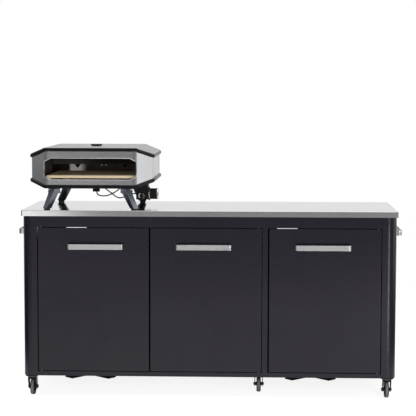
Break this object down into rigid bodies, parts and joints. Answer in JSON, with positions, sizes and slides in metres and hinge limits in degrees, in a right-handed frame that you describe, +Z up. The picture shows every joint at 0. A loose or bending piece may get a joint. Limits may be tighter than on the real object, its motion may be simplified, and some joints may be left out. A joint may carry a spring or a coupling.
{
  "type": "outdoor kitchen",
  "caption": "Long outdoor kitchen cabinet on swivelling casters, with side-hung doors, strap handles, a stainless worktop and a portable gas pizza oven standing on it.",
  "frame": {"origin": "on the floor, under the middle of the whole object's bounding box", "axes": "+X along the worktop to the right as seen from the doors, +Y to the back, +Z up"},
  "size_m": [1.854, 0.623, 1.213],
  "materials": {
    "stainless": "satin stainless sheet",
    "cabinet_paint": "fine matt powder coat",
    "handle_metal": "brushed",
    "hinge_steel": "zinc plated",
    "catch_plastic": "moulded",
    "caster_black": "black coat",
    "caster_tyre": "grey rubber tread on a black hub",
    "oven_steel": "brushed",
    "oven_black": "heat-proof matt black",
    "burner_steel": "heat stained",
    "baking_stone": "matt ceramic",
    "control_black": "moulded",
    "lead_rubber": "matt sheath"
  },
  "bodies": {
    "cabinet": {"worktop": "stainless", "post_front_left": "cabinet_paint", "post_front_right": "cabinet_paint", "post_rear_left": "cabinet_paint", "post_rear_right": "cabinet_paint", "rail_front_top": "cabinet_paint", "rail_front_bottom": "cabinet_paint", "rails_rear": "cabinet_paint", "mullion": "cabinet_paint", "side_panel_left": "cabinet_paint", "side_panel_right": "cabinet_paint", "back_panel_left": "cabinet_paint", "back_panel_right": "cabinet_paint", "partition": "cabinet_paint", "floor_panel": "cabinet_paint", "floor_cross_member": "cabinet_paint", "bottle_trays": "cabinet_paint", "towel_rails": "handle_metal", "hinge_pins": "hinge_steel", "door_catches": "catch_plastic", "caster_plates": "caster_black"},
    "left_door": {"door_left": "cabinet_paint", "handle_left": "handle_metal"},
    "middle_door": {"door_middle": "cabinet_paint", "handle_middle": "handle_metal"},
    "right_door": {"door_right": "cabinet_paint", "handle_right": "handle_metal"},
    "fork_front_left": {"caster_fork_front_left": "caster_black"},
    "wheel_front_left": {"caster_wheel_front_left": "caster_tyre"},
    "fork_front_middle": {"caster_fork_front_middle": "caster_black"},
    "wheel_front_middle": {"caster_wheel_front_middle": "caster_tyre"},
    "fork_front_right": {"caster_fork_front_right": "caster_black"},
    "wheel_front_right": {"caster_wheel_front_right": "caster_tyre"},
    "fork_rear_left": {"caster_fork_rear_left": "caster_black"},
    "wheel_rear_left": {"caster_wheel_rear_left": "caster_tyre"},
    "fork_rear_middle": {"caster_fork_rear_middle": "caster_black"},
    "wheel_rear_middle": {"caster_wheel_rear_middle": "caster_tyre"},
    "fork_rear_right": {"caster_fork_rear_right": "caster_black"},
    "wheel_rear_right": {"caster_wheel_rear_right": "caster_tyre"},
    "oven": {"oven_front": "oven_steel", "oven_shell": "oven_steel", "oven_roof": "oven_steel", "oven_roof_trim": "oven_black", "oven_base": "oven_black", "oven_liner": "oven_black", "pizza_stone": "baking_stone", "heat_shield": "oven_steel", "burner": "burner_steel", "thermometer": "control_black", "leg_brackets": "oven_black", "gas_box": "control_black", "igniter_box": "control_black", "igniter_lead": "lead_rubber", "valve_lead": "lead_rubber"},
    "leg_front_left": {"oven_leg_front_left": "oven_black"},
    "leg_front_right": {"oven_leg_front_right": "oven_black"},
    "leg_rear_left": {"oven_leg_rear_left": "oven_black"},
    "leg_rear_right": {"oven_leg_rear_right": "oven_black"},
    "knob": {"control_knob": "control_black"},
    "button": {"ignition_button": "control_black"}
  },
  "joints": [
    {"name": "left_door_hinge", "type": "hinge", "parent": "cabinet", "child": "left_door", "pos_m": [-0.808, -0.2705, 0.475], "axis": [0, 0, -1], "range_deg": [0, 90]},
    {"name": "middle_door_hinge", "type": "hinge", "parent": "cabinet", "child": "middle_door", "pos_m": [0.2385, -0.2705, 0.475], "axis": [0, 0, 1], "range_deg": [0, 90]},
    {"name": "right_door_hinge", "type": "hinge", "parent": "cabinet", "child": "right_door", "pos_m": [0.808, -0.2705, 0.475], "axis": [0, 0, 1], "range_deg": [0, 90]},
    {"name": "caster_swivel_front_left", "type": "hinge", "parent": "cabinet", "child": "fork_front_left", "pos_m": [-0.857, -0.2435, 0.09], "axis": [0, 0, 1], "continuous": true},
    {"name": "wheel_roll_front_left", "type": "hinge", "parent": "fork_front_left", "child": "wheel_front_left", "pos_m": [-0.857, -0.2215, 0.0395], "axis": [1, 0, 0], "continuous": true},
    {"name": "caster_swivel_front_middle", "type": "hinge", "parent": "cabinet", "child": "fork_front_middle", "pos_m": [0.24, -0.1355, 0.09], "axis": [0, 0, 1], "continuous": true},
    {"name": "wheel_roll_front_middle", "type": "hinge", "parent": "fork_front_middle", "child": "wheel_front_middle", "pos_m": [0.24, -0.1135, 0.0395], "axis": [1, 0, 0], "continuous": true},
    {"name": "caster_swivel_front_right", "type": "hinge", "parent": "cabinet", "child": "fork_front_right", "pos_m": [0.857, -0.2435, 0.09], "axis": [0, 0, 1], "continuous": true},
    {"name": "wheel_roll_front_right", "type": "hinge", "parent": "fork_front_right", "child": "wheel_front_right", "pos_m": [0.857, -0.2215, 0.0395], "axis": [1, 0, 0], "continuous": true},
    {"name": "caster_swivel_rear_left", "type": "hinge", "parent": "cabinet", "child": "fork_rear_left", "pos_m": [-0.857, 0.2445, 0.09], "axis": [0, 0, 1], "continuous": true},
    {"name": "wheel_roll_rear_left", "type": "hinge", "parent": "fork_rear_left", "child": "wheel_rear_left", "pos_m": [-0.857, 0.2665, 0.0395], "axis": [1, 0, 0], "continuous": true},
    {"name": "caster_swivel_rear_middle", "type": "hinge", "parent": "cabinet", "child": "fork_rear_middle", "pos_m": [0.24, 0.1585, 0.09], "axis": [0, 0, 1], "continuous": true},
    {"name": "wheel_roll_rear_middle", "type": "hinge", "parent": "fork_rear_middle", "child": "wheel_rear_middle", "pos_m": [0.24, 0.1805, 0.0395], "axis": [1, 0, 0], "continuous": true},
    {"name": "caster_swivel_rear_right", "type": "hinge", "parent": "cabinet", "child": "fork_rear_right", "pos_m": [0.857, 0.2445, 0.09], "axis": [0, 0, 1], "continuous": true},
    {"name": "wheel_roll_rear_right", "type": "hinge", "parent": "fork_rear_right", "child": "wheel_rear_right", "pos_m": [0.857, 0.2665, 0.0395], "axis": [1, 0, 0], "continuous": true},
    {"name": "oven_lift", "type": "slide", "parent": "cabinet", "child": "oven", "axis": [0, 0, 1], "range_m": [0, 0.35]},
    {"name": "leg_fold_front_left", "type": "hinge", "parent": "oven", "child": "leg_front_left", "pos_m": [-0.7425, -0.2635, 0.993], "axis": [1, 0, 0], "range_deg": [0, 90]},
    {"name": "leg_fold_front_right", "type": "hinge", "parent": "oven", "child": "leg_front_right", "pos_m": [-0.3945, -0.2635, 0.993], "axis": [1, 0, 0], "range_deg": [0, 90]},
    {"name": "leg_fold_rear_left", "type": "hinge", "parent": "oven", "child": "leg_rear_left", "pos_m": [-0.7425, 0.2395, 0.993], "axis": [-1, 0, 0], "range_deg": [0, 90]},
    {"name": "leg_fold_rear_right", "type": "hinge", "parent": "oven", "child": "leg_rear_right", "pos_m": [-0.3945, 0.2395, 0.993], "axis": [-1, 0, 0], "range_deg": [0, 90]},
    {"name": "gas_knob_turn", "type": "hinge", "parent": "oven", "child": "knob", "pos_m": [-0.3155, 0.0655, 0.962], "axis": [1, 0, 0], "range_deg": [0, 180]},
    {"name": "ignition_press", "type": "slide", "parent": "oven", "child": "button", "axis": [0, 1, 0], "range_m": [0, 0.005], "stiffness_N_per_m": 300}
  ]
}
